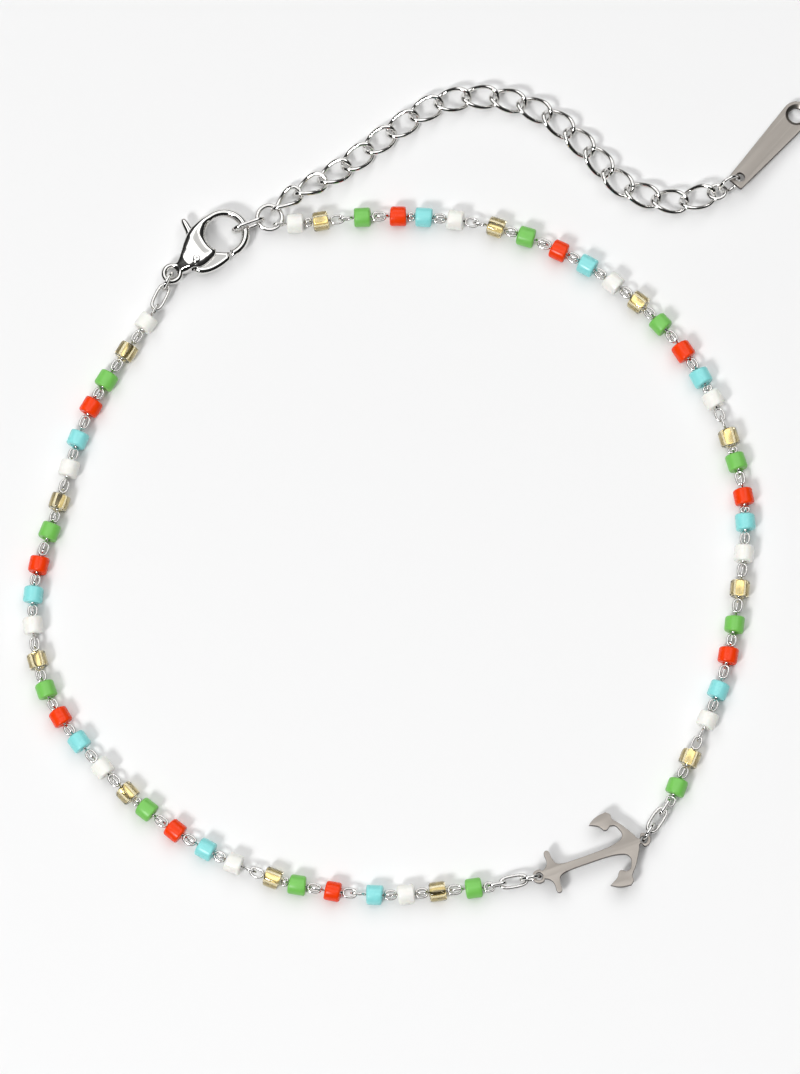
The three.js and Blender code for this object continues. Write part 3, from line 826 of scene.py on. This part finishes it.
end_ring = wire_loop(END_RING_DIAMETER, END_RING_DIAMETER, LINK_WIRE, sides=12)
make(
    "end_ring_wire",
    moved(end_ring, pose(end_ring_at, chain.tangent(0), END_RING_ROLL)),
    polished, ["end_ring"],
)
hook_start = Vector((end_ring_at.x, end_ring_at.y, clasp_hole.z))
to_clasp = towards(hook_start, clasp_hole)
hook_at = hook_start + to_clasp * (end_reach + (HOOK_LINK_LENGTH - HOOK_LINK_WIRE) / 2)
hook_link = wire_loop(HOOK_LINK_LENGTH, CLASP_THICKNESS, HOOK_LINK_WIRE, LINK_SQUARENESS)
make("hook_link_wire", moved(hook_link, pose(hook_at, to_clasp, 90)), polished, ["hook_link"])

tag_ring_at = chain.point(1)
tag_ring = wire_loop(TAG_RING_DIAMETER, TAG_RING_DIAMETER, TAG_RING_WIRE)
turn = math.radians(TAG_LINK_TURN)
to_tag = Vector((math.cos(turn), math.sin(turn), 0))
tag_link_radius = (TAG_LINK_DIAMETER - SMALL_WIRE) / 2
tag_link = wire_loop(TAG_LINK_SHOWN, TAG_LINK_SHOWN, SMALL_WIRE)
tag_link_at = tag_ring_at + to_tag * (tag_reach + tag_link_radius)
tag_link_at.z = TAG_LINK_HEIGHT
tag_rings = [
    moved(tag_ring, pose(tag_ring_at, chain.tangent(1), TAG_RING_ROLL)),
    moved(tag_link, pose(tag_link_at, to_tag, TAG_LINK_ROLL)),
]
make("tag_rings", joined(tag_rings), polished, ["tag_ring", "tag_link"])


# Tag.

tag_hole = tag_ring_at + to_tag * (tag_reach + 2 * tag_link_radius + TAG_HOLE_SLACK)
tag_hole.z = TAG_LINK_HEIGHT
tag_place = turned(tag_hole, TAG_TURN, TAG_TILT) @ Matrix.Translation((-TAG_SMALL_HOLE_AT, 0, 0))
tag_round = TAG_WIDE / 2
tag_narrow = TAG_NARROW / 2
wide_end = TAG_LENGTH - tag_round
tag_outline = circle(wide_end, 0, tag_round, -TAG_ROUND, TAG_ROUND, 32, closed=False)
tag_outline += [(TAG_CORNER, tag_narrow), (0, tag_narrow - TAG_CORNER)]
tag_outline += [(0, TAG_CORNER - tag_narrow), (TAG_CORNER, -tag_narrow)]
tag_small = circle(TAG_SMALL_HOLE_AT, 0, TAG_SMALL_HOLE, steps=32)
tag_top = TAG_THICKNESS / 2
past = tag_top + CUT_PAST
funnel = [
    (-past, NEAR_AXIS), (-past, TAG_LARGE_HOLE), (tag_top - FUNNEL_DEPTH, TAG_LARGE_HOLE),
    (tag_top, TAG_LARGE_HOLE + FUNNEL_FLARE), (past, TAG_LARGE_HOLE + FUNNEL_CUT_FLARE),
    (past, NEAR_AXIS),
]
upright = Matrix.Translation((wide_end, 0, 0)) @ Matrix.Rotation(-math.pi / 2, 4, "Y")
tag_mesh = combined(
    plate([tag_outline, tag_small], TAG_THICKNESS, TAG_BEVEL),
    "DIFFERENCE",
    solid(moved(turned_part(funnel, 64), upright)),
)
tag_mesh.transform(into_frame(tag_place))
show("tapered_tag", tag_mesh, satin, ["tag"], sharp=30, shaded=True)


# Clasp: outlines drawn up, fused into fine cells and rounded towards their edges.

def prism(outline, half):
    n = len(outline)
    points = [(x, y, z) for z in (-half, half) for x, y in outline]
    faces = [tuple(reversed(range(n))), tuple(range(n, 2 * n))]
    faces += [(i, (i + 1) % n, n + (i + 1) % n, n + i) for i in range(n)]
    return np.array(points, float), faces


def box(low, high, half):
    return prism([(low[0], low[1]), (high[0], low[1]), high, (low[0], high[1])], half)


def depth_in(points, outline):
    """How far each point lies inside a closed outline, below zero outside it."""
    gap = np.full(len(points), np.inf)
    inside = np.zeros(len(points), bool)
    corners = np.array(outline)
    for a, along in zip(corners, np.roll(corners, -1, axis=0) - corners):
        reach = points - a
        share = np.clip(reach @ along / (along @ along), 0, 1)
        gap = np.minimum(gap, np.hypot(*(reach - np.outer(share, along)).T))
        if along[1]:
            crosses = (reach[:, 1] < 0) != (reach[:, 1] < along[1])
            inside ^= crosses & (reach[:, 0] < reach[:, 1] * along[0] / along[1])
    return np.where(inside, gap, -gap)


def blurred(mesh, values, rounds):
    """Evens out the values of a mesh's points along its edges."""
    ends = np.empty(2 * len(mesh.edges), int)
    mesh.edges.foreach_get("vertices", ends)
    a, b = ends.reshape(-1, 2).T
    to, of = np.concatenate((a, b)), np.concatenate((b, a))
    count = np.bincount(to, minlength=len(values))
    for _ in range(rounds):
        around = np.bincount(to, values[of], len(values)) / count
        values = (values + around) / 2
    return values


def rounded(outlines, depth, form, smoothing, blurs):
    """Draws up outlines, fuses them into fine cells and rounds them. The depth of a place says how
    far it is from the outline, and the form gives the thickness, the round and the least share."""
    blank = solid(joined([prism(outline, BLANK / 2) for outline in outlines]))
    mesh = modified(blank, ("REMESH", {"mode": "VOXEL", "voxel_size": CELL}))
    flat = np.empty(3 * len(mesh.vertices))
    mesh.vertices.foreach_get("co", flat)
    points = flat.reshape(-1, 3)
    thickness, edge, least = form(points[:, 0])
    inward = 1 - np.clip(depth(points[:, :2]) / edge, 0, 1)
    share = blurred(mesh, least + (1 - least) * np.sqrt(1 - inward**2), blurs)
    points[:, 2] *= thickness / BLANK * share
    mesh.vertices.foreach_set("co", points.ravel())
    mesh.update()
    return modified(mesh, ("SMOOTH", {"factor": 0.5, "iterations": smoothing}))


clasp_outline = scaled(
    eased(BODY_LOWER)
    + circle(*HOOK_INSIDE, 60, closed=False)
    + [HOOK_TIP]
    + circle(*HOOK_OUTSIDE, 40, closed=False)
    + eased(BODY_UPPER),
    CLASP_UNIT,
)


def clasp_depth(points):
    from_eye = np.hypot(*points.T)
    within = np.maximum(depth_in(points, clasp_outline), CLASP_EYE_RADIUS - from_eye)
    return np.minimum(within, from_eye - CLASP_EYE_HOLE)


def clasp_form(x):
    at, *columns = np.array(CLASP_FORM).T
    return [np.interp(x / CLASP_UNIT, at, column) for column in columns]


eye_ring = circle(0, 0, CLASP_EYE_RADIUS, steps=48)
clasp_mesh = rounded([clasp_outline, eye_ring], clasp_depth, clasp_form, smoothing=6, blurs=30)
slot_low = (SLOT_START * CLASP_UNIT, -SLOT_SIDE)
slot = box(slot_low, (SLOT_END * CLASP_UNIT, SLOT_SIDE), SLOT_THICKNESS / 2)
clasp_mesh = combined(
    clasp_mesh,
    "DIFFERENCE",
    solid(prism(circle(0, 0, CLASP_EYE_HOLE), CLASP_THICKNESS)),
    solid(slot),
)
clasp_mesh.transform(into_frame(clasp_place))
show("clasp_shell", clasp_mesh, polished, ["clasp_body"], sharp=55)

inside = (*HOOK_INSIDE[:2], HOOK_INSIDE[2] + LEVER_PLAY, *LEVER_INSIDE)
lever_outline = scaled(
    eased(GATE)
    + circle(*PIVOT_ROUND, 10, closed=False)
    + eased(THUMB_TAB)
    + circle(*inside, 24, closed=False),
    CLASP_UNIT,
)
lever_mesh = rounded(
    [lever_outline],
    lambda points: depth_in(points, lever_outline),
    lambda x: LEVER_FORM,
    smoothing=4,
    blurs=4,
)
bore = prism(circle(pivot.x, pivot.y, RIVET_RADIUS + BORE_PLAY), CLASP_THICKNESS)
lever_mesh = combined(lever_mesh, "DIFFERENCE", solid(bore))
lever_mesh.transform(into_frame(clasp_place))
show("lever_gate", lever_mesh, polished, ["clasp_lever"], body="lever", sharp=55)

rivet_end = CLASP_THICKNESS / 2
rivet_side = rivet_end - RIVET_EDGE
rivet = turned_part(
    [
        (-rivet_end, NEAR_AXIS), (-rivet_end, RIVET_FACE), (-rivet_side, RIVET_RADIUS),
        (rivet_side, RIVET_RADIUS), (rivet_end, RIVET_FACE), (rivet_end, NEAR_AXIS),
    ],
    32,
)
upright = clasp_place @ Matrix.Translation(pivot) @ Matrix.Rotation(-math.pi / 2, 4, "Y")
make("rivet_pin", moved(rivet, upright), polished, ["clasp_rivet"], sharp=50)


# Floor, light and camera.

def plain(name, colour, roughness):
    material, _, node = shader(name, Base_Color=(*colour, 1), Roughness=roughness)
    node.inputs["Specular IOR Level"].default_value = 0.2
    return material


FLOOR_REACH = 3  # metres to each side
r = FLOOR_REACH
floor_mesh = bpy.data.meshes.new("floor")
floor_mesh.from_pydata([(-r, -r, 0), (r, -r, 0), (r, r, 0), (-r, r, 0)], [], [(0, 1, 2, 3)])
floor_mesh.materials.append(plain("floor", (0.9, 0.9, 0.9), 0.7))
floor = bpy.data.objects.new("floor", floor_mesh)
bpy.context.scene.collection.objects.link(floor)


def area_light(name, where, size, watts):
    data = bpy.data.lights.new(name, "AREA")
    data.shape = "RECTANGLE"
    data.size, data.size_y = size
    data.energy = watts
    light = bpy.data.objects.new(name, data)
    light.location = where
    light.rotation_mode = "QUATERNION"
    light.rotation_quaternion = (Vector(where) * -1).to_track_quat("-Z", "Y")
    bpy.context.scene.collection.objects.link(light)


KEY_AT = (-0.6, -0.78, 1.05)  # metres
KEY_SIZE = (0.3, 0.3)
KEY_WATTS = 10.6
area_light("key", KEY_AT, KEY_SIZE, KEY_WATTS)

# Brightness of the sky by how near a direction is to its middle.
HORIZON = 0.02
SKY_MIDDLE = (0, 0.4, 0.917)
SKY = [
    (0.35, 0.02), (0.62, 0.04), (0.75, 0.12), (0.8, 2.1), (0.92, 2.2), (0.955, 0.9), (1, 0.72),
]

world = bpy.data.worlds.new("studio")
bpy.context.scene.world = world
world.use_nodes = True
nodes, wires = world.node_tree.nodes, world.node_tree.links
place = nodes.new("ShaderNodeTexCoord")
nearness = nodes.new("ShaderNodeVectorMath")
nearness.operation = "DOT_PRODUCT"
nearness.inputs[1].default_value = SKY_MIDDLE
ramp = nodes.new("ShaderNodeValToRGB")
wires.new(place.outputs["Generated"], nearness.inputs[0])
wires.new(nearness.outputs["Value"], ramp.inputs["Fac"])
wires.new(ramp.outputs["Color"], nodes["Background"].inputs["Color"])
stops = ramp.color_ramp.elements
stops[0].position = 0
stops[0].color = (HORIZON, HORIZON, HORIZON, 1)
stops[1].position = 1
stops[1].color = (*[SKY[-1][1]] * 3, 1)
for position, level in SKY[:-1]:
    stops.new(position).color = (level, level, level, 1)
nodes["Background"].inputs["Strength"].default_value = 1.0
bpy.context.scene.view_settings.view_transform = "Standard"

CAMERA_TURN, CAMERA_RISE, CAMERA_FAR = 8, 78, 0.6
VIEW_HEIGHT = 0.1117
VIEW_CENTRE = Vector((-1.87, -5.21, BEAD_DIAMETER / 2))
target = (VIEW_CENTRE + SHIFT) * MM
a, e = math.radians(CAMERA_TURN), math.radians(CAMERA_RISE)
back = Vector((math.sin(a) * math.cos(e), -math.cos(a) * math.cos(e), math.sin(e)))
up = (Vector((0, 1, 0)) - back * back.y).normalized()
camera_data = bpy.data.cameras.new("camera")
camera_data.sensor_width = 36
camera_data.lens = 36 * CAMERA_FAR / VIEW_HEIGHT
camera = bpy.data.objects.new("camera", camera_data)
camera.matrix_world = Matrix.Translation(target + back * CAMERA_FAR) @ Matrix(
    (up.cross(back), up, back)
).transposed().to_4x4()
bpy.context.scene.collection.objects.link(camera)
bpy.context.scene.camera = camera
